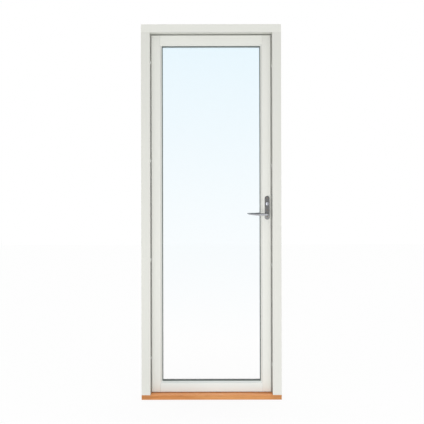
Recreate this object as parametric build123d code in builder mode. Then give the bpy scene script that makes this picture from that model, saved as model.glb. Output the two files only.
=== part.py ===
"""A single glass door in its frame: painted timber, oak threshold, one tall sealed glass unit.

The inside of the door faces -Y, X runs to the right as seen from inside and Z is up. The origin is on
the threshold's underside, at the middle of the frame's width and depth. All sizes are in millimetres.
"""

import os

from build123d import *

os.makedirs("parts", exist_ok=True)

# Frame: outside size, face widths and the two depths of its rebate.
frame_width = 780
frame_height = 2090
frame_depth = 115
head_face = 45
jamb_face = 49
rebate = 16
stop_y = 5
frame_in_y = -frame_depth / 2
frame_out_y = frame_depth / 2
half_width = frame_width / 2
reveal_x = half_width - jamb_face
rebate_x = reveal_x + rebate
head_z = frame_height - head_face
head_rebate_z = head_z + rebate
eased = 1.5
outer_ease = 2
joint_v = 0.8

# Threshold: an inner step that the leaf closes against, and a lower outer part under a metal strip.
step_z = 26
sill_z = 10
strip_t = 2
strip_fall = 1
strip_nose = 3
strip_ease = 1
strip_drop = 5
nose_round = 3

# Leaf: a narrow inner tongue between the jambs and a wider outer flange that overlaps the stop.
tongue_left = -336
tongue_right = 334.4
tongue_bottom = 31
tongue_top = 2038.5
flange_left = -352
flange_right = 349.4
flange_bottom = 17
flange_top = 2054.5
leaf_in_y = -9.5
flange_y = 9
leaf_out_y = 50
leaf_ease = 1
shoulder_w = 0.5
shoulder_d = 1.5

# Glass opening: the moulded bevel, the lip behind it and the rebate that takes the sealed unit.
sight_x = 278
sight_bottom = 89.3
sight_top = 1980.5
bevel_w = 9.5
bevel_y = 1
lip_y = 7
glass_rebate = 15
foot_rebate = 18
glass_gap = 3
tape = 3
pane = 4
cavity = 16
back_tape = 2
glass_ease = 0.5
seal_proud = 3.5
spacer_show = 4
bead_out_y = 49
bead_flat = 8
bead_lip_y = 42

# Rubber seal in a groove of the stop.
groove_w = 3
groove_d = 6
seal_w = 8
seal_t = 3.7
seal_foot = 1
stem_w = 2.8
stem_d = 5

# Fixing sleeves in the jambs and their cover caps.
fixing_y = -24
sleeve_hole_r = 7
sleeve_r = 6.95
sleeve_bore_r = 4.25
sleeve_len = 40
cap_r = 8.5
cap_t = 3.8
cap_ease = 1
cap_stem_r = 6.9
cap_stem = 8
left_fixings = (227.5, 779.5, 1331.5, 1883.5)
right_fixings = (188.5, 746.5, 1304.5, 1862.5)

# Lift-off hinges outside the left jamb.
hinge_x = -354.5
hinge_y = 71
knuckle_r = 8
knuckle_ease = 1
finial = 3
finial_r = 6.5
hinge_half = 55
hinge_lift = 1
plate_t = 3
plate_in_y = 23
pin_r = 5
pin_bore_r = 5.05
pin_up = 48
bore_up = 50
hinge_heights = (250, 1030, 1810)

# Handle set.
handle_x = 314.7
lever_z = 1030.6
turn_z = 1089.5
plate_w = 27.2
plate_bottom = 1000.1
plate_top = 1134
handle_plate_t = 3
plate_ease = 1
neck_r = 7.7
neck_bore_r = 7.75
turn_neck_r = 6
turn_bore_r = 6.05
spindle_side = 8
spindle_bore_r = 11
tail_side = 5
tail_bore_r = 9
hub_out = 50
screw_heights = (1121.9, 1053.8, 1016.6)
screw_r = 3.2
screw_t = 1
slot_cut = 1
slot_turn = 30
out_plate_w = 36
out_plate_bottom = 950
out_plate_top = 1160
cylinder_r = 14
cylinder_t = 12


def bar(profile, start, length, plane, label):
    """Extrude a closed profile, given as corner points, along the plane's normal."""
    with BuildPart() as made:
        with BuildSketch(plane.offset(start)):
            with BuildLine():
                Polyline(*profile, close=True)
            make_face()
        extrude(amount=length)
    made.part.label = label
    return made.part


def ring(x, bottom, top, inset, foot, start_y, depth, label):
    """A rectangular ring in the door's plane: its outer edge, the width of its sides and foot, its depth."""
    with BuildPart() as made:
        with BuildSketch(Plane.XZ.offset(-start_y - depth)):
            with Locations((0, (top + bottom) / 2)):
                Rectangle(2 * x, top - bottom)
            with Locations((0, (top - inset + bottom + foot) / 2)):
                Rectangle(2 * (x - inset), top - inset - bottom - foot, mode=Mode.SUBTRACT)
        extrude(amount=depth)
    made.part.label = label
    return made.part


def save(piece):
    export_step(piece, f"parts/{piece.label}.step")


# Threshold. The inner step has a rounded nose, and the outer part is low enough for the leaf to pass.
with BuildPart() as threshold:
    with BuildSketch(Plane.YZ.offset(-half_width)):
        with BuildLine():
            Polyline(
                (frame_in_y, 0),
                (frame_out_y, 0),
                (frame_out_y, sill_z),
                (stop_y, sill_z),
                (stop_y, step_z),
                (frame_in_y, step_z),
                close=True,
            )
        make_face()
    extrude(amount=frame_width)
    fillet(threshold.edges().filter_by(Axis.X).group_by(Axis.Y)[0].sort_by(Axis.Z)[-1], nose_round)
    groove_z = step_z - seal_w / 2
    with Locations((0, stop_y - groove_d / 2, groove_z)):
        Box(2 * rebate_x, groove_d, groove_w, mode=Mode.SUBTRACT)
threshold.part.label = "threshold"
save(threshold.part)

# Threshold strip: a sloping metal cover with a drip nose over the outer edge.
strip_profile = (
    (stop_y, sill_z),
    (frame_out_y, sill_z),
    (frame_out_y, sill_z - strip_drop),
    (frame_out_y + strip_nose - strip_ease, sill_z - strip_drop),
    (frame_out_y + strip_nose, sill_z - strip_drop + strip_ease),
    (frame_out_y + strip_nose, sill_z + strip_fall),
    (stop_y, sill_z + strip_t),
)
strip = bar(strip_profile, -rebate_x, 2 * rebate_x, Plane.YZ, "threshold_strip")
save(strip)

# Head, full width over the jambs, with the seal groove in its stop.
with BuildPart() as head:
    with BuildSketch(Plane.YZ.offset(-half_width)):
        with BuildLine():
            Polyline(
                (frame_in_y, frame_height),
                (frame_in_y, head_z),
                (stop_y, head_z),
                (stop_y, head_rebate_z),
                (frame_out_y, head_rebate_z),
                (frame_out_y, frame_height),
                close=True,
            )
        make_face()
    extrude(amount=frame_width)
    chamfer(head.edges().filter_by(Axis.X).group_by(Axis.Y)[0].sort_by(Axis.Z)[0], joint_v)
    with Locations((0, stop_y - groove_d / 2, head_z + seal_w / 2)):
        Box(2 * rebate_x, groove_d, groove_w, mode=Mode.SUBTRACT)
    with BuildSketch(Plane.YZ.offset(-reveal_x)):
        with BuildLine():
            Line((frame_in_y, head_z + eased), (frame_in_y, head_z))
            Line((frame_in_y, head_z), (frame_in_y + eased, head_z))
            RadiusArc((frame_in_y + eased, head_z), (frame_in_y, head_z + eased), eased)
        make_face()
    extrude(amount=2 * reveal_x, mode=Mode.SUBTRACT)
    with BuildSketch(Plane.YZ.offset(-rebate_x)):
        with BuildLine():
            Polyline(
                (frame_out_y, head_rebate_z),
                (frame_out_y, head_rebate_z + outer_ease),
                (frame_out_y - outer_ease, head_rebate_z),
                close=True,
            )
        make_face()
    extrude(amount=2 * rebate_x, mode=Mode.SUBTRACT)
head.part.label = "head"
save(head.part)


def jamb(side, label, fixings, mortises):
    """One jamb: side is -1 on the left and 1 on the right. It stands on both levels of the threshold."""
    edge = side * half_width
    with BuildPart() as made:
        with BuildSketch(Plane.XY.offset(sill_z)):
            with BuildLine():
                Polyline(
                    (edge, frame_in_y),
                    (side * reveal_x, frame_in_y),
                    (side * reveal_x, stop_y),
                    (side * rebate_x, stop_y),
                    (side * rebate_x, frame_out_y - outer_ease),
                    (side * (rebate_x + outer_ease), frame_out_y),
                    (edge, frame_out_y),
                    close=True,
                )
            make_face()
        extrude(amount=head_rebate_z - sill_z)
        inner_depth = stop_y - frame_in_y
        inner_mid = (stop_y + frame_in_y) / 2
        jamb_mid = side * (half_width - jamb_face / 2)
        with Locations((jamb_mid, inner_mid, (head_z + head_rebate_z) / 2)):
            Box(jamb_face, inner_depth, rebate, mode=Mode.SUBTRACT)
        with Locations((jamb_mid, inner_mid, (sill_z + step_z) / 2)):
            Box(jamb_face, inner_depth, step_z - sill_z, mode=Mode.SUBTRACT)
        front = made.edges().filter_by(Axis.Z).group_by(Axis.Y)[0]
        fillet(front.sort_by(Axis.X)[0 if side > 0 else -1], eased)
        with BuildSketch(Plane.YZ.offset(-half_width)):
            with BuildLine():
                Polyline(
                    (frame_in_y, head_z),
                    (frame_in_y, head_z - joint_v),
                    (frame_in_y + joint_v, head_z),
                    close=True,
                )
            make_face()
        extrude(amount=frame_width, mode=Mode.SUBTRACT)
        groove_x = side * (reveal_x + seal_w / 2)
        with Locations((groove_x, stop_y - groove_d / 2, frame_height / 2)):
            Box(groove_w, groove_d, frame_height, mode=Mode.SUBTRACT)
        with Locations(*[(jamb_mid, fixing_y, z) for z in fixings]):
            Cylinder(sleeve_hole_r, jamb_face, rotation=(0, 90, 0), mode=Mode.SUBTRACT)
        for low, high, y_low, y_high, depth in mortises:
            with Locations((side * (rebate_x + depth / 2), (y_low + y_high) / 2, (low + high) / 2)):
                Box(depth, y_high - y_low, high - low, mode=Mode.SUBTRACT)
    made.part.label = label
    return made.part


hinge_mortises = [
    (z - hinge_half, z + hinge_half, plate_in_y, frame_out_y, plate_t) for z in hinge_heights
]
strike_t = 2
strike_w = 24
strike_y = 30
slot_w = 12
slot_h = 28
pocket = 14
strikes = ((1062.5, 180, (lever_z, turn_z)), (330, 100, (330,)), (1740, 100, (1740,)))
strike_mortises = [
    (z - length / 2, z + length / 2, strike_y - strike_w / 2, strike_y + strike_w / 2, strike_t)
    for z, length, slots in strikes
]
bolt_heights = [slot for z, length, slots in strikes for slot in slots]
bolt_pockets = [
    (z - slot_h / 2, z + slot_h / 2, strike_y - slot_w / 2, strike_y + slot_w / 2, pocket)
    for z in bolt_heights
]
save(jamb(-1, "jamb_left", left_fixings, hinge_mortises))
save(jamb(1, "jamb_right", right_fixings, strike_mortises + bolt_pockets))

# Strike plates, flush in the lock-side rebate, each with the slots that the bolts enter.
for label, group in (("strike_plate_main", strikes[:1]), ("strike_plates_end", strikes[1:])):
    with BuildPart() as strike:
        for z, length, slots in group:
            with Locations((rebate_x + strike_t / 2, strike_y, z)):
                Box(strike_t, strike_w, length)
            with Locations(*[(rebate_x + strike_t / 2, strike_y, slot) for slot in slots]):
                Box(strike_t, slot_w, slot_h, mode=Mode.SUBTRACT)
    strike.part.label = label
    save(strike.part)

# Seals: a round-backed bulb with a stem in the groove, on the stop of all four frame members.
groove_mid = reveal_x + seal_w / 2


def seal(middle, plane, start, length, across, label):
    """One length of seal. across turns a point (along the stop, out from it) into the plane's own two."""
    with BuildPart() as made:
        with BuildSketch(plane.offset(start)):
            with BuildLine():
                Polyline(
                    across(middle - seal_w / 2, stop_y + seal_foot),
                    across(middle - seal_w / 2, stop_y),
                    across(middle - stem_w / 2, stop_y),
                    across(middle - stem_w / 2, stop_y - stem_d),
                    across(middle + stem_w / 2, stop_y - stem_d),
                    across(middle + stem_w / 2, stop_y),
                    across(middle + seal_w / 2, stop_y),
                    across(middle + seal_w / 2, stop_y + seal_foot),
                )
                ThreePointArc(
                    across(middle + seal_w / 2, stop_y + seal_foot),
                    across(middle, stop_y + seal_t),
                    across(middle - seal_w / 2, stop_y + seal_foot),
                )
            make_face()
        extrude(amount=length)
    made.part.label = label
    return made.part


for side, label in ((-1, "seal_left"), (1, "seal_right")):
    save(seal(side * groove_mid, Plane.XY, step_z, head_z - step_z, lambda x, y: (x, y), label))
seal_span = groove_mid + seal_w / 2
for middle, label in ((groove_z, "seal_bottom"), (head_z + seal_w / 2, "seal_head")):
    save(seal(middle, Plane.YZ, -seal_span, 2 * seal_span, lambda z, y: (y, z), label))

# Fixing sleeves through the jambs, with white caps on the reveal.
for side, label, heights in ((-1, "left", left_fixings), (1, "right", right_fixings)):
    with BuildPart() as sleeves:
        middle = side * (half_width - sleeve_len / 2)
        with Locations(*[(middle, fixing_y, z) for z in heights]):
            Cylinder(sleeve_r, sleeve_len, rotation=(0, 90, 0))
            Cylinder(sleeve_bore_r, sleeve_len, rotation=(0, 90, 0), mode=Mode.SUBTRACT)
    sleeves.part.label = f"fixing_sleeves_{label}"
    save(sleeves.part)
    with BuildPart() as caps:
        with Locations(*[(side * (reveal_x - cap_t / 2), fixing_y, z) for z in heights]):
            Cylinder(cap_r, cap_t, rotation=(0, 90, 0))
        fillet(caps.edges().filter_by(GeomType.CIRCLE).group_by(Axis.X)[0 if side > 0 else -1], cap_ease)
        with Locations(*[(side * (reveal_x + cap_stem / 2), fixing_y, z) for z in heights]):
            Cylinder(cap_stem_r, cap_stem, rotation=(0, 90, 0))
    caps.part.label = f"fixing_caps_{label}"
    save(caps.part)

# The fine open joints that show where the rails' shoulders meet the stiles.
with BuildPart() as shoulders:
    shoulder_x = sight_x + bevel_w + shoulder_w / 2
    for low, high in ((tongue_bottom, sight_bottom - bevel_w), (sight_top + bevel_w, tongue_top)):
        middle = (low + high) / 2
        with Locations(*[(x, leaf_in_y + shoulder_d / 2, middle) for x in (-shoulder_x, shoulder_x)]):
            Box(shoulder_w, shoulder_d, high - low)


# Leaf stiles, full height, with the bevel, the lip and the rebate for the glass.
def stile_profile(side, tongue, flange):
    """Section of a stile in the XY plane: outer edge first, then round by the inside face."""
    sight = side * sight_x
    return (
        (flange - side * leaf_ease, leaf_out_y),
        (flange, leaf_out_y - leaf_ease),
        (flange, flange_y),
        (tongue, flange_y),
        (tongue, leaf_in_y + leaf_ease),
        (tongue - side * leaf_ease, leaf_in_y),
        (sight + side * bevel_w, leaf_in_y),
        (sight, bevel_y),
        (sight, lip_y),
        (sight + side * glass_rebate, lip_y),
        (sight + side * glass_rebate, leaf_out_y),
    )


faceplate_t = 3
faceplate_w = 20
faceplate_low = 140
faceplate_high = 1930
bolt_back = 12
bolt_play = 0.5
bolt_ease = 1
window_w = 10
window_h = 26
cut_over = 200


def stile(side, tongue, flange, label):
    """A stile with its ends stepped like its edge, and mortises for the hinges or the lock."""
    with BuildPart() as made:
        with BuildSketch(Plane.XY.offset(flange_bottom)):
            with BuildLine():
                Polyline(*stile_profile(side, tongue, flange), close=True)
            make_face()
        extrude(amount=flange_top - flange_bottom)
        wide = side * (abs(tongue) + sight_x) / 2
        for low, high in ((flange_bottom, tongue_bottom), (tongue_top, flange_top)):
            with Locations((wide, (leaf_in_y + flange_y) / 2, (low + high) / 2)):
                Box(cut_over, flange_y - leaf_in_y, high - low, mode=Mode.SUBTRACT)
        ends = made.edges().filter_by(Axis.X).group_by(Axis.Y)[0]
        chamfer(ends, leaf_ease)
        add(shoulders.part, mode=Mode.SUBTRACT)
        if side < 0:
            with Locations(
                *[(flange + plate_t / 2, (plate_in_y + leaf_out_y) / 2, z) for z in hinge_heights]
            ):
                Box(plate_t, leaf_out_y - plate_in_y, 2 * hinge_half, mode=Mode.SUBTRACT)
        else:
            middle = (faceplate_low + faceplate_high) / 2
            with Locations((flange - faceplate_t / 2, strike_y, middle)):
                Box(faceplate_t, faceplate_w, faceplate_high - faceplate_low, mode=Mode.SUBTRACT)
            with Locations(*[(flange - bolt_back / 2, strike_y, z) for z in bolt_heights]):
                Box(bolt_back, window_w, window_h, mode=Mode.SUBTRACT)
            with Locations((handle_x, 0, lever_z)):
                Cylinder(spindle_bore_r, cut_over, rotation=(90, 0, 0), mode=Mode.SUBTRACT)
            with Locations((handle_x, 0, turn_z)):
                Cylinder(tail_bore_r, cut_over, rotation=(90, 0, 0), mode=Mode.SUBTRACT)
    made.part.label = label
    return made.part


hinge_stile = stile(-1, tongue_left, flange_left, "hinge_stile")
lock_stile = stile(1, tongue_right, flange_right, "lock_stile")
save(hinge_stile)
save(lock_stile)


# Rails between the stiles. Their ends are scribed over the stiles' bevel, so only a short joint shows.
def rail(side, tongue, flange, sight, rebate_depth, label):
    """side is -1 for the bottom rail and 1 for the top one; the section is in the YZ plane."""
    profile = (
        (leaf_out_y, flange - side * leaf_ease),
        (leaf_out_y - leaf_ease, flange),
        (flange_y, flange),
        (flange_y, tongue),
        (leaf_in_y + leaf_ease, tongue),
        (leaf_in_y, tongue - side * leaf_ease),
        (leaf_in_y, sight + side * bevel_w),
        (bevel_y, sight),
        (lip_y, sight),
        (lip_y, sight + side * rebate_depth),
        (leaf_out_y, sight + side * rebate_depth),
    )
    reach = sight_x + glass_rebate
    with BuildPart() as made:
        with BuildSketch(Plane.YZ.offset(-reach)):
            with BuildLine():
                Polyline(*profile, close=True)
            make_face()
        extrude(amount=2 * reach)
        add(hinge_stile, mode=Mode.SUBTRACT)
        add(lock_stile, mode=Mode.SUBTRACT)
        add(shoulders.part, mode=Mode.SUBTRACT)
    made.part.label = label
    return made.part


save(rail(1, tongue_top, flange_top, sight_top, glass_rebate, "top_rail"))
save(rail(-1, tongue_bottom, flange_bottom, sight_bottom, foot_rebate, "bottom_rail"))

# Sealed glass unit with its spacer, and the glazing seals on both sides.
unit_x = sight_x + glass_rebate - glass_gap
unit_bottom = sight_bottom - foot_rebate + glass_gap
unit_top = sight_top + glass_rebate - glass_gap
inner_y = lip_y + tape
cavity_y = inner_y + pane
outer_y = cavity_y + cavity
back_y = outer_y + pane
unit_mid = (unit_bottom + unit_top) / 2
for y, label in ((inner_y, "glass_inner"), (outer_y, "glass_outer")):
    with BuildPart() as glass:
        with Locations((0, y + pane / 2, unit_mid)):
            Box(2 * unit_x, pane, unit_top - unit_bottom)
        chamfer(glass.edges().filter_by(Axis.Y, reverse=True), glass_ease)
    glass.part.label = label
    save(glass.part)
spacer_side = glass_rebate - glass_gap + spacer_show
save(ring(unit_x, unit_bottom, unit_top, spacer_side, spacer_side, cavity_y, cavity, "glass_spacer"))
seal_side = glass_rebate - glass_gap + seal_proud
seal_low = foot_rebate - glass_gap + seal_proud
save(ring(unit_x, unit_bottom, unit_top, seal_side, seal_low, lip_y, tape, "glazing_seal_inside"))
save(ring(unit_x, unit_bottom, unit_top, seal_side, seal_low, back_y, back_tape, "glazing_seal_outside"))

# Glazing beads outside: the upright ones run the full height, the level ones fit between them.
bead_y = back_y + back_tape
bead_low = sight_bottom - foot_rebate
bead_high = sight_top + glass_rebate


def bead_profile(side, sight, wall):
    """Section of a bead, from the rebate's wall to the sight line."""
    return (
        (wall, bead_y),
        (wall, bead_out_y),
        (wall - side * bead_flat, bead_out_y),
        (sight, bead_lip_y),
        (sight, bead_y),
    )


for side, label in ((-1, "bead_left"), (1, "bead_right")):
    profile = bead_profile(side, side * sight_x, side * (sight_x + glass_rebate))
    save(bar(profile, bead_low, bead_high - bead_low, Plane.XY, label))
for side, sight, wall, label in (
    (-1, sight_bottom, bead_low, "bead_bottom"),
    (1, sight_top, bead_high, "bead_top"),
):
    profile = [(y, z) for z, y in bead_profile(side, sight, wall)]
    save(bar(profile, -sight_x, 2 * sight_x, Plane.YZ, label))

# Drip rail across the foot of the leaf, outside: a moulding with a curved top and a throat below.
drip_x = 326
drip_low = 22
drip_high = 66
drip_out = 28
drip_lip = 8
throat_r = 3
drip_curve = 60
with BuildPart() as drip:
    with BuildSketch(Plane.YZ.offset(-drip_x)):
        with BuildLine():
            Line((leaf_out_y, drip_high), (leaf_out_y, drip_low))
            Line((leaf_out_y, drip_low), (leaf_out_y + drip_out, drip_low))
            Line((leaf_out_y + drip_out, drip_low), (leaf_out_y + drip_out, drip_low + drip_lip))
            RadiusArc((leaf_out_y + drip_out, drip_low + drip_lip), (leaf_out_y, drip_high), drip_curve)
        make_face()
        with Locations((leaf_out_y + drip_out - 2 * throat_r, drip_low)):
            Circle(throat_r, mode=Mode.SUBTRACT)
    extrude(amount=2 * drip_x)
drip.part.label = "drip_rail"
save(drip.part)

# Lock faceplate in the leaf's edge, with a window for each bolt, and the bolts drawn back flush.
with BuildPart() as faceplate:
    with Locations((flange_right - faceplate_t / 2, strike_y, (faceplate_low + faceplate_high) / 2)):
        Box(faceplate_t, faceplate_w, faceplate_high - faceplate_low)
    with Locations(*[(flange_right - faceplate_t / 2, strike_y, z) for z in bolt_heights]):
        Box(faceplate_t, window_w, window_h, mode=Mode.SUBTRACT)
faceplate.part.label = "lock_faceplate"
save(faceplate.part)
with BuildPart() as bolts:
    with Locations(*[(flange_right - bolt_back / 2, strike_y, z) for z in bolt_heights]):
        Box(bolt_back, window_w - 2 * bolt_play, window_h - 2 * bolt_play)
    chamfer(bolts.edges().group_by(Axis.X)[-1], bolt_ease)
bolts.part.label = "lock_bolts"
save(bolts.part)

# Hinges. The frame half carries the pin, the leaf half lifts off it.
for z, label in zip(hinge_heights, ("lower", "middle", "upper")):
    frame_plate_x = -rebate_x - plate_t / 2
    leaf_plate_x = flange_left + plate_t / 2
    with BuildPart() as frame_half:
        with Locations((frame_plate_x, (plate_in_y + frame_out_y) / 2, z)):
            Box(plate_t, frame_out_y - plate_in_y, 2 * hinge_half)
        low_mid = z - (hinge_half + hinge_lift) / 2
        with Locations((frame_plate_x, (plate_in_y + hinge_y) / 2, low_mid)):
            Box(plate_t, hinge_y - plate_in_y, hinge_half - hinge_lift)
        with Locations((hinge_x, hinge_y, low_mid)):
            Cylinder(knuckle_r, hinge_half - hinge_lift)
        with Locations((hinge_x, hinge_y, z - hinge_half - finial / 2)):
            Cylinder(finial_r, finial)
        chamfer(frame_half.edges().filter_by(GeomType.CIRCLE).group_by(Axis.Z)[0], knuckle_ease)
        with Locations((hinge_x, hinge_y, z + pin_up / 2 - hinge_lift)):
            Cylinder(pin_r, pin_up + hinge_lift)
    frame_half.part.label = f"hinge_frame_{label}"
    save(frame_half.part)
    with BuildPart() as leaf_half:
        with Locations((leaf_plate_x, (plate_in_y + leaf_out_y) / 2, z)):
            Box(plate_t, leaf_out_y - plate_in_y, 2 * hinge_half)
        with Locations((leaf_plate_x, (plate_in_y + hinge_y) / 2, z + hinge_half / 2)):
            Box(plate_t, hinge_y - plate_in_y, hinge_half)
        with Locations((hinge_x, hinge_y, z + hinge_half / 2)):
            Cylinder(knuckle_r, hinge_half)
        with Locations((hinge_x, hinge_y, z + hinge_half + finial / 2)):
            Cylinder(finial_r, finial)
        chamfer(leaf_half.edges().filter_by(GeomType.CIRCLE).group_by(Axis.Z)[-1], knuckle_ease)
        with Locations((hinge_x, hinge_y, z + bore_up / 2)):
            Cylinder(pin_bore_r, bore_up, mode=Mode.SUBTRACT)
    leaf_half.part.label = f"hinge_leaf_{label}"
    save(leaf_half.part)


# Handle plates: rounded ends, with bores that carry the lever's neck and the thumb-turn's neck.
def handle_plate(width, bottom, top, y_low, y_high, label, turn_bore):
    with BuildPart() as made:
        with BuildSketch(Plane.XZ.offset(-y_high)):
            with Locations((handle_x, (bottom + top) / 2)):
                SlotOverall(top - bottom, width, rotation=90)
            with Locations((handle_x, lever_z)):
                Circle(neck_bore_r, mode=Mode.SUBTRACT)
            if turn_bore:
                with Locations((handle_x, turn_z)):
                    Circle(turn_bore_r, mode=Mode.SUBTRACT)
        extrude(amount=y_high - y_low)
        front = made.faces().sort_by(Axis.Y)[0 if y_low < 0 else -1]
        chamfer(front.outer_wire().edges(), plate_ease)
    made.part.label = label
    return made.part


in_face = leaf_in_y - handle_plate_t
out_face = leaf_out_y + handle_plate_t
save(handle_plate(plate_w, plate_bottom, plate_top, in_face, leaf_in_y, "handle_plate_inside", True))
save(
    handle_plate(
        out_plate_w, out_plate_bottom, out_plate_top, leaf_out_y, out_face, "handle_plate_outside", False
    )
)
with BuildPart() as screws:
    with Locations(*[(handle_x, in_face - screw_t / 2, z) for z in screw_heights]):
        Cylinder(screw_r, screw_t, rotation=(90, 0, 0))
    fillet(screws.edges().group_by(Axis.Y)[0], screw_t / 2)
    with Locations(*[(handle_x, in_face - screw_t, z) for z in screw_heights]):
        Box(2 * screw_r, screw_t, slot_cut, rotation=(0, slot_turn, 0), mode=Mode.SUBTRACT)
screws.part.label = "plate_screws"
save(screws.part)

# Key cylinder outside: a tapered collar round a plug with its keyway.
plug_r = 7.5
plug_sunk = 1
keyway_w = 1.6
keyway_h = 9
keyway_d = 6
with BuildPart() as cylinder:
    with Locations((handle_x, out_face + cylinder_t / 2, turn_z)):
        Cylinder(cylinder_r, cylinder_t, rotation=(90, 0, 0))
    rim = cylinder.edges().group_by(Axis.Y)[-1]
    chamfer(rim, length=2 * plug_sunk, length2=4 * plug_sunk)
    with Locations((handle_x, out_face + cylinder_t - plug_sunk / 2, turn_z)):
        Cylinder(plug_r, plug_sunk, rotation=(90, 0, 0), mode=Mode.SUBTRACT)
    with Locations((handle_x, out_face + cylinder_t - keyway_d / 2, turn_z)):
        Box(keyway_w, keyway_d, keyway_h, mode=Mode.SUBTRACT)
cylinder.part.label = "key_cylinder"
save(cylinder.part)


# Levers. The neck bends through a quarter turn into an arm that thins to its tip under a straight top.
lever_len = 106.8
bend_r = 13
arm_r = 7.7
arm_sections = ((0.3, 7, 7.6, 13.5), (0.55, 5.2, 6.9, 11.5), (0.8, 4.5, 3.6, 9.5), (1, 4.3, 2.6, 7.5))
tip_round = 2
neck_run = 5


def lever(sign, plate_y, label):
    """sign is -1 for the inside lever and 1 for the outside one."""
    arm_y = plate_y + sign * (hub_out - arm_r)
    bend_y = arm_y - sign * bend_r
    arm_x = handle_x - bend_r
    neck_in = plate_y - sign * neck_run
    with BuildPart() as made:
        with Locations((handle_x, (neck_in + bend_y) / 2, lever_z)):
            Cylinder(neck_r, abs(bend_y - neck_in), rotation=(90, 0, 0))
        with BuildSketch(Plane((handle_x, bend_y, lever_z), x_dir=(1, 0, 0), z_dir=(0, sign, 0))):
            Circle(arm_r)
        revolve(axis=Axis((arm_x, bend_y, lever_z), (0, 0, sign)), revolution_arc=90)
        with BuildSketch(Plane.YZ.offset(arm_x)):
            with Locations((arm_y, lever_z)):
                Ellipse(arm_r, arm_r)
        for share, above, below, thick in arm_sections:
            with BuildSketch(Plane.YZ.offset(handle_x - share * lever_len)):
                with Locations((arm_y, lever_z + (above - below) / 2)):
                    Ellipse(thick / 2, (above + below) / 2)
        loft()
        fillet(made.faces().sort_by(Axis.X)[0].edges(), tip_round)
    made.part.label = label
    return made.part


save(lever(-1, in_face, "lever_inside"))
save(lever(1, out_face, "lever_outside"))
with BuildPart() as spindle:
    length = out_face - in_face - 2 * neck_run
    with Locations((handle_x, (out_face + in_face) / 2, lever_z)):
        Box(spindle_side, length, spindle_side)
spindle.part.label = "spindle"
save(spindle.part)

# Thumb-turn: a round base, a grip with a bevelled front, and a square tail into the stile.
turn_r = 11
turn_base = 6
turn_ease = 2
grip_w = 13.5
grip_h = 17.5
grip_out = 22
front_flat = 5.5
front_drop = 1.3
grip_corner = 5
tail_len = 30
lift = 0.5
base_y = in_face - lift
with BuildPart() as turn:
    with Locations((handle_x, base_y - turn_base / 2, turn_z)):
        Cylinder(turn_r, turn_base, rotation=(90, 0, 0))
    fillet(turn.edges().group_by(Axis.Y)[0], turn_ease)
    with BuildSketch(Plane.XZ.offset(-base_y)):
        with Locations((handle_x, turn_z)):
            RectangleRounded(grip_w, grip_h, grip_corner)
    extrude(amount=grip_out)
    front_y = base_y - grip_out
    with BuildSketch(Plane.XY.offset(turn_z - turn_r)):
        for side in (-1, 1):
            with BuildLine():
                Polyline(
                    (handle_x + side * front_flat / 2, front_y),
                    (handle_x + side * grip_w / 2, front_y),
                    (handle_x + side * grip_w / 2, front_y + front_drop),
                    close=True,
                )
            make_face()
    extrude(amount=2 * turn_r, mode=Mode.SUBTRACT)
    with Locations((handle_x, in_face + handle_plate_t / 2 - lift, turn_z)):
        Cylinder(turn_neck_r, handle_plate_t + 2 * lift, rotation=(90, 0, 0))
    with Locations((handle_x, in_face + tail_len / 2, turn_z)):
        Box(tail_side, tail_len, tail_side)
turn.part.label = "thumb_turn"
save(turn.part)
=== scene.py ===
# %% [markdown]
# # A glass door, dressed and lit
#
# The door comes from CAD as a set of named solids: a timber frame on an oak threshold, and a leaf that
# swings outward with one tall glass panel. Those shapes are already right, so this lesson is mostly about
# finishes. Each cell takes one finish or one small set of parts, says what it is on the real door, and
# builds it from nodes or from a few lines of mesh code. All lengths are in metres, with the inside of the
# door facing -Y.

import math

import bmesh
import bpy
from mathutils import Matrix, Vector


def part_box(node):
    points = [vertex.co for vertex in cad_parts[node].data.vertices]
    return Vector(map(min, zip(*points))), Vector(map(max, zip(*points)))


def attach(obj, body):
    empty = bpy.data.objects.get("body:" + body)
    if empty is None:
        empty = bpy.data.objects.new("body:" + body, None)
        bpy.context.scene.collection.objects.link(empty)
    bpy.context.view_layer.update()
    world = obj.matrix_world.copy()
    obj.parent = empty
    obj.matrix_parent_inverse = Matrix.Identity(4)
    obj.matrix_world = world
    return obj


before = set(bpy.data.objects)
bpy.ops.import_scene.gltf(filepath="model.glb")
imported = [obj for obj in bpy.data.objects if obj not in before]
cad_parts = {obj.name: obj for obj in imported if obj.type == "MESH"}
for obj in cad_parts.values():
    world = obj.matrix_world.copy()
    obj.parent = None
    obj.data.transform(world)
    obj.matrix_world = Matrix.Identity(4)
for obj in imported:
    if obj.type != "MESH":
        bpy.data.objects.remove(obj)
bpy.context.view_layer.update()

# %% [markdown]
# ## A small toolbox for node materials
#
# A material is a graph of nodes. Typing out every link by hand hides the idea, so three short helpers do
# it: one starts a material with its Principled shader, one adds a node with its settings, and one scales
# the object's own coordinates. A fourth puts the finished material on the pieces it belongs to. Object
# coordinates are used everywhere, because the pattern then sticks to the piece when the door opens. UV
# maps would do the same, but these solids have none and need none.


# %% Helpers for materials
def start_material(name):
    """An empty material with one Principled shader that feeds the output."""
    material = bpy.data.materials.new(name)
    material.use_nodes = True
    tree = material.node_tree
    tree.nodes.clear()
    shader = tree.nodes.new("ShaderNodeBsdfPrincipled")
    output = tree.nodes.new("ShaderNodeOutputMaterial")
    tree.links.new(shader.outputs["BSDF"], output.inputs["Surface"])
    return material, tree, shader


def add_node(tree, kind, links=(), **values):
    """Add a node. links gives (input name, output socket); values set attributes or unlinked inputs."""
    node = tree.nodes.new(kind)
    for key, value in values.items():
        if hasattr(node, key):
            setattr(node, key, value)
        else:
            node.inputs[key.replace("_", " ")].default_value = value
    for socket, source in links:
        tree.links.new(source, node.inputs[socket])
    return node


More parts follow.
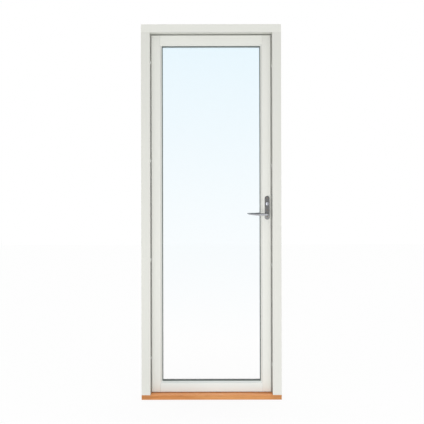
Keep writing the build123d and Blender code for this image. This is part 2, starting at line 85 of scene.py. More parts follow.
def piece_coordinates(tree, stretch):
    """Object coordinates multiplied along each axis, so that a round pattern becomes a long grain."""
    coords = tree.nodes.new("ShaderNodeTexCoord")
    mapping = tree.nodes.new("ShaderNodeMapping")
    mapping.inputs["Scale"].default_value = stretch
    tree.links.new(coords.outputs["Object"], mapping.inputs["Vector"])
    return mapping.outputs["Vector"]


def paint(node_names, material):
    """Put one material on every slot of the named CAD nodes."""
    for name in node_names:
        slots = bpy.data.objects[name].material_slots
        for slot in slots:
            slot.material = material
    print(material.name, "on", len(node_names), "pieces")


# %% [markdown]
# ## Sprayed satin paint on timber
#
# The frame and the leaf are pine, planed and sprayed in a factory with a warm off-white satin paint. From
# two metres it looks like one flat colour, but three things keep it from looking like plastic: the colour
# drifts a little over a long board, the grain of the pine telegraphs through as faint ridges along the
# board, and the spray leaves a very fine orange peel. A photo texture could carry all this, but noise is
# lighter and never repeats. The grain has to follow the board, so upright and level pieces get the same
# paint turned two ways. Each copy is also made a little lighter or darker, which is painted light and
# shade that evens out how the pieces are lit. The leaf's paint is lighter than the frame's partly to
# make up for the shade of the deep frame. The bottom rail is a touch cooler, a painted correction for the
# orange light that the oak throws back on it.


# %% Paint for upright and level boards
drift_scale, peel_scale = 2.3, 900
dull_share, dull_below, full_above = 0.975, 0.35, 0.62
ridge_depth, peel_depth, gloss_swing = 0.0006, 0.0002, 0.05


def satin_paint(name, tone, light_balance, grain_stretch, roughness):
    """The third argument makes this copy a little lighter or darker than the tone, as painted light and
    shade.
    """
    material, tree, shader = start_material(name)
    plain = [("Vector", piece_coordinates(tree, (1, 1, 1)))]
    drift = add_node(tree, "ShaderNodeTexNoise", plain, Scale=drift_scale, Detail=3)
    grain = add_node(
        tree, "ShaderNodeTexNoise", [("Vector", piece_coordinates(tree, grain_stretch))], Scale=1, Detail=5
    )
    blend = add_node(
        tree, "ShaderNodeMath", [(0, drift.outputs["Fac"]), (1, grain.outputs["Fac"])], operation="ADD"
    )
    ramp = tree.nodes.new("ShaderNodeValToRGB")
    ramp.color_ramp.elements[0].position = dull_below
    ramp.color_ramp.elements[0].color = (*[dull_share * light_balance * part for part in tone], 1)
    ramp.color_ramp.elements[1].position = full_above
    ramp.color_ramp.elements[1].color = (*[light_balance * part for part in tone], 1)
    halve = add_node(tree, "ShaderNodeMath", [(0, blend.outputs[0])], operation="MULTIPLY")
    halve.inputs[1].default_value = 0.5
    tree.links.new(halve.outputs[0], ramp.inputs["Fac"])
    tree.links.new(ramp.outputs["Color"], shader.inputs["Base Color"])
    peel = add_node(tree, "ShaderNodeTexNoise", plain, Scale=peel_scale, Detail=2)
    ridges = add_node(
        tree, "ShaderNodeBump", [("Height", grain.outputs["Fac"])], Strength=0.08, Distance=ridge_depth
    )
    skin = add_node(
        tree,
        "ShaderNodeBump",
        [("Height", peel.outputs["Fac"]), ("Normal", ridges.outputs["Normal"])],
        Strength=0.05,
        Distance=peel_depth,
    )
    tree.links.new(skin.outputs["Normal"], shader.inputs["Normal"])
    gloss = add_node(tree, "ShaderNodeMapRange", [("Value", drift.outputs["Fac"])])
    gloss.inputs["To Min"].default_value = roughness - gloss_swing
    gloss.inputs["To Max"].default_value = roughness + gloss_swing
    tree.links.new(gloss.outputs["Result"], shader.inputs["Roughness"])
    shader.inputs["Specular IOR Level"].default_value = 0.4
    return material


upright, level = (260, 260, 5), (5, 260, 260)
frame_roughness, leaf_roughness = 0.42, 0.4
frame_tone = (0.78, 0.787, 0.735)
# The leaf's tone is lighter than the frame's partly as painted light, making up for the shade the deep frame
# throws on it.
leaf_tone = (0.82, 0.826, 0.78)
# The bottom rail's cooler tone is a painted correction for the orange light that the oak throws on it.
bounce_cooled_foot_tone = (0.782, 0.82, 0.798)
# The last figure in each line below is painted light and shade: it lightens or darkens that copy of the
# paint to even out how its pieces are lit.
frame_paint_upright = satin_paint("frame_paint_upright", frame_tone, 0.893, upright, frame_roughness)
frame_paint_level = satin_paint("frame_paint_level", frame_tone, 0.96, level, frame_roughness)
leaf_paint_upright = satin_paint("leaf_paint_upright", leaf_tone, 0.93, upright, leaf_roughness)
leaf_paint_level = satin_paint("leaf_paint_level", leaf_tone, 0.985, level, leaf_roughness)
leaf_paint_foot = satin_paint("leaf_paint_foot", bounce_cooled_foot_tone, 0.98, level, leaf_roughness)
paint(["jamb_left", "jamb_right"], frame_paint_upright)
paint(["head"], frame_paint_level)
paint(["hinge_stile", "lock_stile", "bead_left", "bead_right"], leaf_paint_upright)
paint(["top_rail", "bead_top", "bead_bottom", "drip_rail"], leaf_paint_level)
paint(["bottom_rail"], leaf_paint_foot)

# %% [markdown]
# ## Varnished oak
#
# The threshold is the one piece of bare wood, and the only strong colour on the door. Oak shows long
# pores along the board, wider bands of early and late wood, and small pale flecks. Bands from a wave
# texture look like a drawing, so stretched and distorted noise gives the bands instead. The pores are a
# second, much finer noise that both darkens the wood and dents it. The faces that look up are painted
# paler than the front, which is painted top light; the piece's own normals tell the two apart without
# any mask. The last few centimetres of each end, under the jambs, are darker.


# %% Oak for the threshold
early_wood, mid_wood, late_wood = (0.74, 0.272, 0.068), (0.84, 0.343, 0.103), (0.92, 0.42, 0.145)
pore_shade, pore_depth = (0.72, 0.66, 0.6), 0.0004
band_stretch, pore_stretch = (3.0, 60, 60), (14, 700, 700)
glossy_wood, dull_pore = 0.38, 0.55
front_tint, tread_painted_top_light = (0.695, 0.70, 0.675), (1.12, 1.16, 1.39)
end_from, end_to, end_share = 0.325, 0.35, 0.86


def varnished_oak(name):
    """Banded wood with fine pores, painted paler where it faces up as painted top light, and darker towards
    its two ends.
    """
    material, tree, shader = start_material(name)
    bands = add_node(
        tree,
        "ShaderNodeTexNoise",
        [("Vector", piece_coordinates(tree, band_stretch))],
        Scale=1,
        Detail=4,
        Distortion=0.6,
    )
    pores = add_node(
        tree, "ShaderNodeTexNoise", [("Vector", piece_coordinates(tree, pore_stretch))], Scale=1, Detail=2
    )
    wood = tree.nodes.new("ShaderNodeValToRGB")
    stops = wood.color_ramp.elements
    stops[0].position, stops[0].color = 0.3, (*early_wood, 1)
    stops[1].position, stops[1].color = 0.7, (*late_wood, 1)
    middle = stops.new(0.5)
    middle.color = (*mid_wood, 1)
    tree.links.new(bands.outputs["Fac"], wood.inputs["Fac"])
    dots = tree.nodes.new("ShaderNodeValToRGB")
    dots.color_ramp.elements[0].position = 0.32
    dots.color_ramp.elements[0].color = (*pore_shade, 1)
    dots.color_ramp.elements[1].position = 0.45
    dots.color_ramp.elements[1].color = (1, 1, 1, 1)
    tree.links.new(pores.outputs["Fac"], dots.inputs["Fac"])
    mixed = add_node(tree, "ShaderNodeMix", data_type="RGBA", blend_type="MULTIPLY")
    mixed.inputs[0].default_value = 0.8
    tree.links.new(wood.outputs["Color"], mixed.inputs[6])
    tree.links.new(dots.outputs["Color"], mixed.inputs[7])
    coords = tree.nodes.new("ShaderNodeTexCoord")
    # Faces that look up get the paler tint, which is painted top light.
    facing = add_node(tree, "ShaderNodeSeparateXYZ", [("Vector", coords.outputs["Normal"])])
    painted_top_light_mix = add_node(tree, "ShaderNodeMix", [(0, facing.outputs["Z"])], data_type="RGBA")
    painted_top_light_mix.inputs[6].default_value = (*front_tint, 1)
    painted_top_light_mix.inputs[7].default_value = (*tread_painted_top_light, 1)
    top_lit_wood = add_node(tree, "ShaderNodeVectorMath", operation="MULTIPLY")
    tree.links.new(mixed.outputs[2], top_lit_wood.inputs[0])
    tree.links.new(painted_top_light_mix.outputs[2], top_lit_wood.inputs[1])
    along = add_node(tree, "ShaderNodeSeparateXYZ", [("Vector", coords.outputs["Object"])])
    from_middle = add_node(tree, "ShaderNodeMath", [(0, along.outputs["X"])], operation="ABSOLUTE")
    # The wood is darker towards both ends.
    end_darkening = add_node(tree, "ShaderNodeMapRange", [("Value", from_middle.outputs[0])])
    end_darkening.inputs["From Min"].default_value = end_from
    end_darkening.inputs["From Max"].default_value = end_to
    end_darkening.inputs["To Min"].default_value = 1
    end_darkening.inputs["To Max"].default_value = end_share
    ends = add_node(tree, "ShaderNodeVectorMath", operation="SCALE")
    tree.links.new(top_lit_wood.outputs["Vector"], ends.inputs[0])
    tree.links.new(end_darkening.outputs["Result"], ends.inputs["Scale"])
    tree.links.new(ends.outputs["Vector"], shader.inputs["Base Color"])
    dents = add_node(
        tree, "ShaderNodeBump", [("Height", pores.outputs["Fac"])], Strength=0.15, Distance=pore_depth
    )
    tree.links.new(dents.outputs["Normal"], shader.inputs["Normal"])
    shine = add_node(tree, "ShaderNodeMapRange", [("Value", pores.outputs["Fac"])])
    shine.inputs["To Min"].default_value = dull_pore
    shine.inputs["To Max"].default_value = glossy_wood
    tree.links.new(shine.outputs["Result"], shader.inputs["Roughness"])
    return material


paint(["threshold"], varnished_oak("varnished_oak"))

# %% [markdown]
# ## Metals
#
# The plates are a dark satin nickel, painted paler at the foot as a painted reflection of the floor.
# The thumb-turn is turned from the same metal, and the lever is polished, so it is pale below and dark
# above, where it mirrors the ceiling. The hinges and the lock's edge parts are brighter zinc and
# stainless steel, and the threshold strip is anodised aluminium with fine lines along its length. All of
# them are the same recipe: metallic all the way, with noise stretched along the polishing direction to
# break up the gloss.


# %% Brushed and satin metals
groove_shade, groove_depth = 0.92, 0.0002
smoother, rougher = 0.04, 0.06


def brushed_metal(name, tone, roughness, line_stretch, depth, painted_reflection_below=None):
    """The optional last argument gives two heights and how much paler the metal is at the first one than at
    the second: a painted reflection.
    """
    material, tree, shader = start_material(name)
    lines = add_node(
        tree, "ShaderNodeTexNoise", [("Vector", piece_coordinates(tree, line_stretch))], Scale=1, Detail=3
    )
    ramp = tree.nodes.new("ShaderNodeValToRGB")
    ramp.color_ramp.elements[0].position = 0.3
    ramp.color_ramp.elements[0].color = (*[groove_shade * part for part in tone], 1)
    ramp.color_ramp.elements[1].position = 0.7
    ramp.color_ramp.elements[1].color = (*tone, 1)
    tree.links.new(lines.outputs["Fac"], ramp.inputs["Fac"])
    colour = ramp.outputs["Color"]
    if painted_reflection_below:
        place = add_node(tree, "ShaderNodeSeparateXYZ", [("Vector", piece_coordinates(tree, (1, 1, 1)))])
        height = add_node(tree, "ShaderNodeMapRange", [("Value", place.outputs["Z"])])
        height.inputs["From Min"].default_value = painted_reflection_below[0]
        height.inputs["From Max"].default_value = painted_reflection_below[1]
        height.inputs["To Min"].default_value = painted_reflection_below[2]
        height.inputs["To Max"].default_value = 1
        paler = add_node(tree, "ShaderNodeVectorMath", operation="SCALE")
        tree.links.new(colour, paler.inputs[0])
        tree.links.new(height.outputs["Result"], paler.inputs["Scale"])
        colour = paler.outputs["Vector"]
    tree.links.new(colour, shader.inputs["Base Color"])
    gloss = add_node(tree, "ShaderNodeMapRange", [("Value", lines.outputs["Fac"])])
    gloss.inputs["To Min"].default_value = roughness - smoother
    gloss.inputs["To Max"].default_value = roughness + rougher
    tree.links.new(gloss.outputs["Result"], shader.inputs["Roughness"])
    dents = add_node(
        tree, "ShaderNodeBump", [("Height", lines.outputs["Fac"])], Strength=depth, Distance=groove_depth
    )
    tree.links.new(dents.outputs["Normal"], shader.inputs["Normal"])
    shader.inputs["Metallic"].default_value = 1
    return material


# The plate is painted paler below the lever's height, a painted reflection of the floor.
painted_foot_reflection = (1.018, 1.04, 1.7)
plate_lines, fine_lines = (160, 160, 160), (900, 900, 900)
satin_nickel = brushed_metal("satin_nickel", (0.185, 0.187, 0.187), 0.22, plate_lines, 0.04, painted_foot_reflection)
turned_nickel = brushed_metal("turned_nickel", (0.34, 0.35, 0.38), 0.12, fine_lines, 0.02)
polished_nickel = brushed_metal("polished_nickel", (0.55, 0.56, 0.59), 0.14, fine_lines, 0.02)
zinc_steel = brushed_metal("zinc_steel", (0.5, 0.51, 0.52), 0.3, (300, 300, 900), 0.05)
lock_steel = brushed_metal("lock_steel", (0.45, 0.45, 0.46), 0.28, (900, 900, 12), 0.06)
strip_aluminium = brushed_metal("strip_aluminium", (0.55, 0.56, 0.57), 0.35, (8, 1200, 1200), 0.06)
screw_bronze = brushed_metal("screw_bronze", (0.28, 0.215, 0.16), 0.35, (400, 400, 400), 0.05)
paint(["handle_plate_inside", "handle_plate_outside", "key_cylinder"], satin_nickel)
paint(["thumb_turn"], turned_nickel)
paint(["lever_inside", "lever_outside"], polished_nickel)
hinge_places = ("lower", "middle", "upper")
hinge_parts = [f"hinge_{side}_{place}" for side in ("frame", "leaf") for place in hinge_places]
paint(hinge_parts + ["fixing_sleeves_left", "fixing_sleeves_right"], zinc_steel)
lock_parts = ["strike_plate_main", "strike_plates_end", "lock_faceplate", "lock_bolts", "spindle"]
paint(lock_parts, lock_steel)
paint(["threshold_strip"], strip_aluminium)
paint(["plate_screws"], screw_bronze)

# %% [markdown]
# ## Rubber, plastic and the dark line round the glass
#
# A line a few millimetres wide runs round the glass inside the bevel. It is the glazing seal and the
# spacer that holds the two panes apart, both a grey-green that is darker than anything else on the leaf.
# The frame seals are black rubber and stay hidden until the door opens. The little caps over the fixing
# sleeves are a soft plastic, near the paint's colour but a shade lighter. All are matt, with a fine mould
# texture.


# %% Seals, spacer and caps
darkest, palest, mould_depth = 0.85, 1.1, 0.0002


def moulded(name, tone, roughness, grit, depth):
    """A matt, slightly mottled surface; grit is how fine its texture is and depth how deep."""
    material, tree, shader = start_material(name)
    cloud = add_node(
        tree, "ShaderNodeTexNoise", [("Vector", piece_coordinates(tree, (1, 1, 1)))], Scale=grit, Detail=3
    )
    ramp = tree.nodes.new("ShaderNodeValToRGB")
    ramp.color_ramp.elements[0].color = (*[darkest * part for part in tone], 1)
    ramp.color_ramp.elements[1].color = (*[palest * part for part in tone], 1)
    tree.links.new(cloud.outputs["Fac"], ramp.inputs["Fac"])
    tree.links.new(ramp.outputs["Color"], shader.inputs["Base Color"])
    dents = add_node(
        tree, "ShaderNodeBump", [("Height", cloud.outputs["Fac"])], Strength=depth, Distance=mould_depth
    )
    tree.links.new(dents.outputs["Normal"], shader.inputs["Normal"])
    shader.inputs["Roughness"].default_value = roughness
    return material


frame_rubber = moulded("frame_rubber", (0.02, 0.02, 0.021), 0.6, 700, 0.15)
glazing_rubber = moulded("glazing_rubber", (0.13, 0.16, 0.15), 0.6, 700, 0.1)
spacer_grey = moulded("spacer_grey", (0.42, 0.48, 0.47), 0.5, 500, 0.1)
cap_plastic = moulded("cap_plastic", (0.8, 0.81, 0.78), 0.45, 600, 0.05)
paint(["seal_head", "seal_left", "seal_right", "seal_bottom"], frame_rubber)
paint(["glazing_seal_inside", "glazing_seal_outside"], glazing_rubber)
paint(["glass_spacer"], spacer_grey)
paint(["fixing_caps_left", "fixing_caps_right"], cap_plastic)

# %% [markdown]
# ## Clear glass with a painted sky reflection
#
# The two panes are clear, and what shows in them is a trace of sky blue that fades out towards the foot
# of the door, painted into the glass's colour as a painted reflection of the sky. A Principled shader at
# full transmission gives the reflections and the refraction. It has one fault: Cycles treats it as solid
# for the rays that look for lamps, so a room behind it goes dark. The usual cure is to hand those shadow
# rays to a Transparent shader. The painted blue is a ramp over the pane's own height, so it stays with
# the glass when the door opens. Each pane carries half of it, because the light passes through both.

# %% Window glass
pane_low, pane_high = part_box("glass_inner")
print("pane runs from", round(pane_low[2], 4), "to", round(pane_high[2], 4))
# These blues are a painted reflection of the sky.
half_sky_reflection, top_sky_reflection = (0.955, 0.985, 0.999), (0.90, 0.965, 0.998)
clear_below, half_way, drift_reach = 0.12, 0.55, 0.06


def window_glass(name):
    """Clear glass with a painted reflection of the sky, blue at its top, which also lets the lamps' light
    through.
    """
    material, tree, shader = start_material(name)
    coords = tree.nodes.new("ShaderNodeTexCoord")
    split = add_node(tree, "ShaderNodeSeparateXYZ", [("Vector", coords.outputs["Object"])])
    height = add_node(tree, "ShaderNodeMapRange", [("Value", split.outputs["Z"])])
    height.inputs["From Min"].default_value = pane_low[2]
    height.inputs["From Max"].default_value = pane_high[2]
    drift = add_node(tree, "ShaderNodeTexNoise", [("Vector", coords.outputs["Object"])], Scale=1.5, Detail=2)
    soften = add_node(tree, "ShaderNodeMath", [(0, drift.outputs["Fac"])], operation="MULTIPLY_ADD")
    soften.inputs[1].default_value = drift_reach
    soften.inputs[2].default_value = -drift_reach / 2
    moved = add_node(
        tree, "ShaderNodeMath", [(0, height.outputs["Result"]), (1, soften.outputs[0])], operation="ADD"
    )
    sky = tree.nodes.new("ShaderNodeValToRGB")
    stops = sky.color_ramp.elements
    stops[0].position, stops[0].color = clear_below, (1, 1, 1, 1)
    stops[1].position, stops[1].color = 1.0, (*top_sky_reflection, 1)
    half = stops.new(half_way)
    half.color = (*half_sky_reflection, 1)
    tree.links.new(moved.outputs[0], sky.inputs["Fac"])
    tree.links.new(sky.outputs["Color"], shader.inputs["Base Color"])
    shader.inputs["Transmission Weight"].default_value = 1
    shader.inputs["Roughness"].default_value = 0
    shader.inputs["IOR"].default_value = 1.5
    clear = tree.nodes.new("ShaderNodeBsdfTransparent")
    tree.links.new(sky.outputs["Color"], clear.inputs["Color"])
    path = tree.nodes.new("ShaderNodeLightPath")
    chooser = tree.nodes.new("ShaderNodeMixShader")
    tree.links.new(path.outputs["Is Shadow Ray"], chooser.inputs["Fac"])
    tree.links.new(shader.outputs["BSDF"], chooser.inputs[1])
    tree.links.new(clear.outputs["BSDF"], chooser.inputs[2])
    output = next(node for node in tree.nodes if node.type == "OUTPUT_MATERIAL")
    tree.links.new(chooser.outputs["Shader"], output.inputs["Surface"])
    return material


paint(["glass_inner", "glass_outer"], window_glass("window_glass"))

# %% [markdown]
# ## Screw heads
#
# The hinge leaves, the strike plates and the long faceplate in the leaf's edge are all held by small
# countersunk screws. They only show when the door stands open. Each head is a shallow turned disc with a
# cross recess: a short stack of rings, with the recess pressed in by moving the inner ring's points back.
# The heads on one side of a joint are made as one mesh, because nearly forty separate objects would be
# harder to keep track of.


# %% One screw head, and many of them in a mesh
sides = 24
proud = 0.0004
head_rows = ((1.0, 0.0), (0.93, 0.75), (0.62, 1.0), (0.34, 1.0), (0.22, -1.5))
recess_share, arm_reach, arm_waist = 0.5, 0.45, 0.25
turn_step = 0.7


def add_screw_head(mesh, centre, facing, radius, turn):
    """A domed head with a cross recess, its rim on the plate and facing along +X or -X.

    head_rows gives each ring's share of the radius and its rise above the plate, in times proud.
    """
    rings = []
    for share, rise in head_rows:
        ring = []
        for k in range(sides):
            angle = 2 * math.pi * k / sides
            reach = share * radius
            if share < recess_share:
                reach *= 1 + arm_reach * max(0.0, math.cos(4 * angle)) - arm_waist
            y = centre[1] + reach * math.cos(angle + turn)
            z = centre[2] + reach * math.sin(angle + turn)
            ring.append(mesh.verts.new((centre[0] + facing * proud * rise, y, z)))
        rings.append(ring)
    for outer, inner in zip(rings, rings[1:]):
        for k in range(sides):
            n = (k + 1) % sides
            mesh.faces.new((outer[k], outer[n], inner[n], inner[k]))
    mesh.faces.new(rings[-1])


def screw_set(name, places, facing, radius, body, material):
    """All the heads at the given places in one mesh, which rides on one body."""
    mesh = bmesh.new()
    for number, place in enumerate(places):
        add_screw_head(mesh, place, facing, radius, turn_step * number)
    bmesh.ops.recalc_face_normals(mesh, faces=mesh.faces)
    data = bpy.data.meshes.new(name)
    mesh.to_mesh(data)
    mesh.free()
    data.shade_smooth()
    piece = bpy.data.objects.new(name, data)
    bpy.context.collection.objects.link(piece)
    data.materials.append(material)
    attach(piece, body)
    print(name, len(places), "heads", len(data.polygons), "faces")


# %% [markdown]
# A hinge's heads follow the hinge: a box from the CAD node gives its middle height, and two staggered
# rows are spaced out from there. The strike plates and the faceplate are let in flush, so their heads
# stand on the rebate's face and on the leaf's edge, at heights that stay clear of the bolts and of the
# holes for them.


# %% Place the screws
hinge_half, hinge_margin, screws_a_leaf = 0.055, 0.014, 4
near_row, far_row = 0.033, 0.043


def spaced(low, high, count, margin):
    """Evenly spaced places between low and high, the first and last one a margin inside."""
    step = (high - low - 2 * margin) / (count - 1)
    return [low + margin + step * k for k in range(count)]


def hinge_screws(side, face_x):
    """Two staggered rows of screws on the three hinge leaves of one side."""
    places = []
    for place in hinge_places:
        low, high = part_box(f"hinge_{side}_{place}")
        middle = (low[2] + high[2]) / 2
        heights = spaced(middle - hinge_half, middle + hinge_half, screws_a_leaf, hinge_margin)
        for number, z in enumerate(heights):
            places.append((face_x, near_row if number % 2 else far_row, z))
    return places


rebate_left, flange_left = -0.357, -0.352
rebate_right, flange_right = 0.357, 0.3494
hinge_screw, strike_screw, edge_screw = 0.004, 0.0038, 0.0035
on_frame = hinge_screws("frame", rebate_left)
on_leaf = hinge_screws("leaf", flange_left)
screw_set("hinge_screws_frame", on_frame, 1, hinge_screw, "frame", zinc_steel)
screw_set("hinge_screws_leaf", on_leaf, -1, hinge_screw, "leaf", zinc_steel)
strike_y = 0.030
strike_heights = (0.288, 0.372, 0.984, 1.141, 1.698, 1.782)
edge_heights = (0.15, 0.42, 0.7, 0.95, 1.18, 1.42, 1.65, 1.92)
on_strikes = [(rebate_right, strike_y, z) for z in strike_heights]
on_edge = [(flange_right, strike_y, z) for z in edge_heights]
screw_set("strike_screws", on_strikes, -1, strike_screw, "frame", lock_steel)
screw_set("faceplate_screws", on_edge, 1, edge_screw, "leaf", lock_steel)

# %% [markdown]
# ## The shoulder joints
#
# Where a rail's shoulder meets a stile, the paint cracks along a line half a millimetre wide and dust
# settles in it. CAD already has the fine groove. At this size light would still reach its bottom, so a
# dark strip is laid in it, partly dust and partly painted shade of the groove: a ribbon of small faces,
# whose edges and depth wander a little from step to step.

# %% Dust and painted shade in the joints
# The dark strip stands for dust and for painted shade in the groove.
dust_and_shade_grey = moulded("dust_and_shade_grey", (0.1, 0.095, 0.085), 0.9, 900, 0.3)
joint_x, joint_w, leaf_face = 0.2875, 0.0005, -0.0095
joint_runs = ((0.0325, 0.0797), (1.9902, 2.0372))
steps, strip_below, strip_inset = 24, 0.0002, 0.00005
long_sway, short_sway = 0.00003, 0.00002
ribbon = bmesh.new()
for side in (-1, 1):
    for low, high in joint_runs:
        before = None
        for k in range(steps + 1):
            z = low + (high - low) * k / steps
            sway = long_sway * math.sin(2.3 * k) + short_sway * math.sin(5.1 * k + side)
            y = leaf_face + strip_below + 2 * abs(sway)
            near = ribbon.verts.new((side * (joint_x + strip_inset + sway), y, z))
            far = ribbon.verts.new((side * (joint_x + joint_w - strip_inset + sway), y, z))
            if before:
                ribbon.faces.new((before[0], before[1], far, near))
            before = (near, far)
bmesh.ops.recalc_face_normals(ribbon, faces=ribbon.faces)
dust_and_shade_mesh = bpy.data.meshes.new("joint_dust_and_shade")
ribbon.to_mesh(dust_and_shade_mesh)
ribbon.free()
joint_dust_and_shade = bpy.data.objects.new("joint_dust_and_shade", dust_and_shade_mesh)
bpy.context.collection.objects.link(joint_dust_and_shade)
dust_and_shade_mesh.materials.append(dust_and_shade_grey)
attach(joint_dust_and_shade, "leaf")
print("joint dust", len(dust_and_shade_mesh.polygons), "faces")

# %% [markdown]
# ## Floor, backdrop and light
#
# The photograph is a catalogue cut-out: pure white behind and below the door, and light so soft that the
# paint shows almost no shading. White paper would have to be lit far above the door to clip, and would
# wash the paint out. So the world is white for rays that come from the camera, a mirror or through the
# glass, and the floor nearly so: it keeps a tenth of its real shading, so the door still stands on
# something. Soft light comes from a sky that is brighter overhead, for the tread and the bevels, and from
# the pale floor, which lights the head from below. Metal needs something dark to mirror, or it looks like
# white plastic, so mirrored rays, and only those, see a dim ceiling above the door.

# %% What a ray sees, and where it goes
def seen_directly(tree):
    """One where the ray comes from the camera, a glossy surface or through glass."""
    path = tree.nodes.new("ShaderNodeLightPath")
    first = add_node(
        tree,
        "ShaderNodeMath",
        [(0, path.outputs["Is Camera Ray"]), (1, path.outputs["Is Glossy Ray"])],
        operation="MAXIMUM",
    )
    both = add_node(
        tree,
        "ShaderNodeMath",
        [(0, first.outputs[0]), (1, path.outputs["Is Transmission Ray"])],
        operation="MAXIMUM",
    )
    return both.outputs[0]


def by_height(tree, low, high, at_low, at_high):
    """A strength that changes from at_low to at_high while the ray's upward part goes from low to high."""
    ray = tree.nodes.new("ShaderNodeTexCoord")
    parts = add_node(tree, "ShaderNodeSeparateXYZ", [("Vector", ray.outputs["Generated"])])
    ramp = add_node(tree, "ShaderNodeMapRange", [("Value", parts.outputs["Z"])])
    ramp.inputs["From Min"].default_value = low
    ramp.inputs["From Max"].default_value = high
    ramp.inputs["To Min"].default_value = at_low
    ramp.inputs["To Max"].default_value = at_high
    return ramp.outputs["Result"]


# %% The sky
scene = bpy.context.scene
world = bpy.data.worlds.new("studio")
scene.world = world
world.use_nodes = True
sky_tree = world.node_tree
sky_tree.nodes.clear()
horizon, zenith = 0.1, 1.4
ceiling_low, ceiling_high, ceiling_tone = 0.2, 0.45, 0.28
white_sky = add_node(sky_tree, "ShaderNodeBackground", Color=(1, 1, 1, 1))
light_sky = add_node(sky_tree, "ShaderNodeBackground", Color=(1, 1, 1, 1))
mirrored = sky_tree.nodes.new("ShaderNodeLightPath")
dimming = by_height(sky_tree, ceiling_low, ceiling_high, 0, ceiling_tone - 1)
white_strength = add_node(
    sky_tree,
    "ShaderNodeMath",
    [(0, mirrored.outputs["Is Glossy Ray"]), (1, dimming)],
    operation="MULTIPLY_ADD",
)
white_strength.inputs[2].default_value = 1
sky_tree.links.new(white_strength.outputs[0], white_sky.inputs["Strength"])
sky_tree.links.new(by_height(sky_tree, 0, 1, horizon, zenith), light_sky.inputs["Strength"])
sky_choice = sky_tree.nodes.new("ShaderNodeMixShader")
sky_out = sky_tree.nodes.new("ShaderNodeOutputWorld")
sky_tree.links.new(seen_directly(sky_tree), sky_choice.inputs["Fac"])
sky_tree.links.new(light_sky.outputs[0], sky_choice.inputs[1])
sky_tree.links.new(white_sky.outputs[0], sky_choice.inputs[2])
sky_tree.links.new(sky_choice.outputs[0], sky_out.inputs["Surface"])
print("soft light from the sky:", horizon, "at the horizon,", zenith, "overhead")

# %% The floor
floor_mesh = bpy.data.meshes.new("studio_floor")
floor_reach = 12
corners = [(x * floor_reach, y * floor_reach, 0) for x, y in ((-1, -1), (1, -1), (1, 1), (-1, 1))]
floor_mesh.from_pydata(corners, [], [(0, 1, 2, 3)])
floor = bpy.data.objects.new("studio_floor", floor_mesh)
bpy.context.collection.objects.link(floor)
white_share, bounce_glow = 0.9, 1.1
floor_grey = 0.93
floor_material, floor_tree, floor_shader = start_material("studio_floor")
floor_shader.inputs["Base Color"].default_value = (floor_grey, floor_grey, floor_grey, 1)
floor_shader.inputs["Roughness"].default_value = 0.9
spread = floor_tree.nodes.new("ShaderNodeLightPath")
strength = add_node(floor_tree, "ShaderNodeMapRange", [("Value", spread.outputs["Is Diffuse Ray"])])
strength.inputs["To Min"].default_value = 1.0
strength.inputs["To Max"].default_value = bounce_glow
glow = add_node(floor_tree, "ShaderNodeEmission", [("Strength", strength.outputs["Result"])])
glow.inputs["Color"].default_value = (1, 1, 1, 1)
reached = add_node(
    floor_tree,
    "ShaderNodeMath",
    [(0, seen_directly(floor_tree)), (1, spread.outputs["Is Diffuse Ray"])],
    operation="MAXIMUM",
)
share = add_node(floor_tree, "ShaderNodeMath", [(0, reached.outputs[0])], operation="MULTIPLY")
share.inputs[1].default_value = white_share
floor_mix = floor_tree.nodes.new("ShaderNodeMixShader")
floor_tree.links.new(share.outputs[0], floor_mix.inputs["Fac"])
floor_tree.links.new(floor_shader.outputs[0], floor_mix.inputs[1])
floor_tree.links.new(glow.outputs[0], floor_mix.inputs[2])
floor_out = next(node for node in floor_tree.nodes if node.type == "OUTPUT_MATERIAL")
floor_tree.links.new(floor_mix.outputs[0], floor_out.inputs["Surface"])
floor_mesh.materials.append(floor_material)
print("floor", 2 * floor_reach, "m wide, white for", white_share, "of its colour")

# %% [markdown]
# ## Softboxes
#
# Two broad boxes stand well to the sides, and the knob and the levers mirror them. A low panel lifts the
# bevels at the head. Alone they would leave the leaf dull along the deep jambs, so it also gets light
# almost head on, from two lamps at the far end of a long studio. Light from so far off is parallel, which
# is what Blender calls a sun; a third one does the same for the outside. A near lamp would do as well,
# but leaves a bright pool on the floor. In a real studio polarising film keeps such lamps out of the
# glass and the plates; here they are hidden from mirrored rays, and from rays through the glass, where a
# far lamp would show as a white disc.


# %% Place the near lamps
def softbox(name, place, aim, width, height, power, mirrored=True):
    """A broad lamp that points at aim; only the mirrored ones show in metal and glass."""
    data = bpy.data.lights.new(name, "AREA")
    data.shape = "RECTANGLE"
    data.size = width
    data.size_y = height
    data.energy = power
    lamp = bpy.data.objects.new(name, data)
    bpy.context.collection.objects.link(lamp)
    lamp.visible_camera = False
    lamp.visible_transmission = False
    lamp.visible_glossy = mirrored
    lamp.location = place
    direction = [a - p for a, p in zip(aim, place)]
    flat = math.hypot(direction[0], direction[1])
    lamp.rotation_euler = (math.atan2(flat, -direction[2]), 0, math.atan2(-direction[0], direction[1]))
    print(name, "at", place, power, "W")


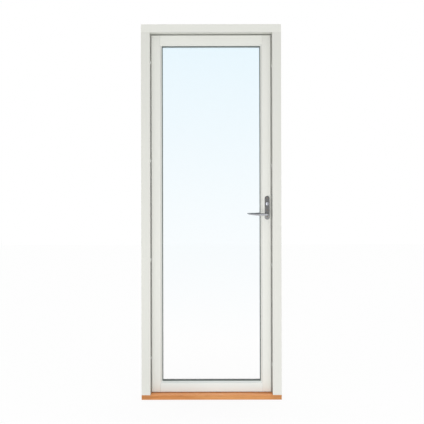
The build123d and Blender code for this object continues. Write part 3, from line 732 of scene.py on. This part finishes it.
door_middle = (0, 0, 1.0)
softbox("softbox_right", (2.5, -4.9, 0.95), door_middle, 1.0, 1.6, 11)
softbox("softbox_left", (-2.7, -4.9, 0.95), door_middle, 1.0, 1.5, 11.5)
softbox("softbox_floor", (-0.2, -1.95, 0.12), (-0.2, -1.0, 3.0), 1.6, 0.4, 8, mirrored=False)


# %% Place the far lamps
far_softness, far_aside, far_above, far_strength = 5, 8, 4, 0.34


def far_light(name, aside, above, strength):
    """Parallel light whose source is so many degrees aside from -Y and above the floor."""
    data = bpy.data.lights.new(name, "SUN")
    data.angle = math.radians(far_softness)
    data.energy = strength
    lamp = bpy.data.objects.new(name, data)
    bpy.context.collection.objects.link(lamp)
    lamp.visible_camera = False
    lamp.visible_glossy = False
    lamp.visible_transmission = False
    lamp.rotation_euler = (math.radians(90 - above), 0, math.radians(aside))
    print(name, aside, "degrees aside, strength", strength)


far_light("far_light_right", far_aside, far_above, far_strength)
far_light("far_light_left", -far_aside, far_above, far_strength)
far_light("far_light_back", 180, far_above, 2 * far_strength)

# %% [markdown]
# ## The camera
#
# The lens stands four metres in front of the frame at 1.15 m above the floor, level, and looks straight
# at the door. The sums come from the photograph: the frame's real 780 mm spans 140 pixels, and the
# threshold's top, the head's underside and the jambs' inner faces show by the few pixels that fix the
# distance and the height. The picture's middle is lower than the lens, so the lens is shifted as a view
# camera would be, and the camera is turned by an eighth of a degree, as the photograph is.

# %% Camera
image_side = 424
distance = 4.0
eye_height = 1.15
front_face = -0.0575
focal_pixels = 718.8
shift_right, shift_down = 0.73, 18.9
roll = 0.12
camera_data = bpy.data.cameras.new("camera")
camera_data.sensor_width = 36
camera_data.lens = focal_pixels / image_side * camera_data.sensor_width
camera_data.shift_x = shift_right / image_side
camera_data.shift_y = -shift_down / image_side
camera = bpy.data.objects.new("camera", camera_data)
bpy.context.collection.objects.link(camera)
camera.location = (0, front_face - distance, eye_height)
camera.rotation_euler = (math.pi / 2, math.radians(roll), 0)
scene.camera = camera
scene.view_settings.view_transform = "Standard"
print("lens", round(camera_data.lens, 2), "mm")
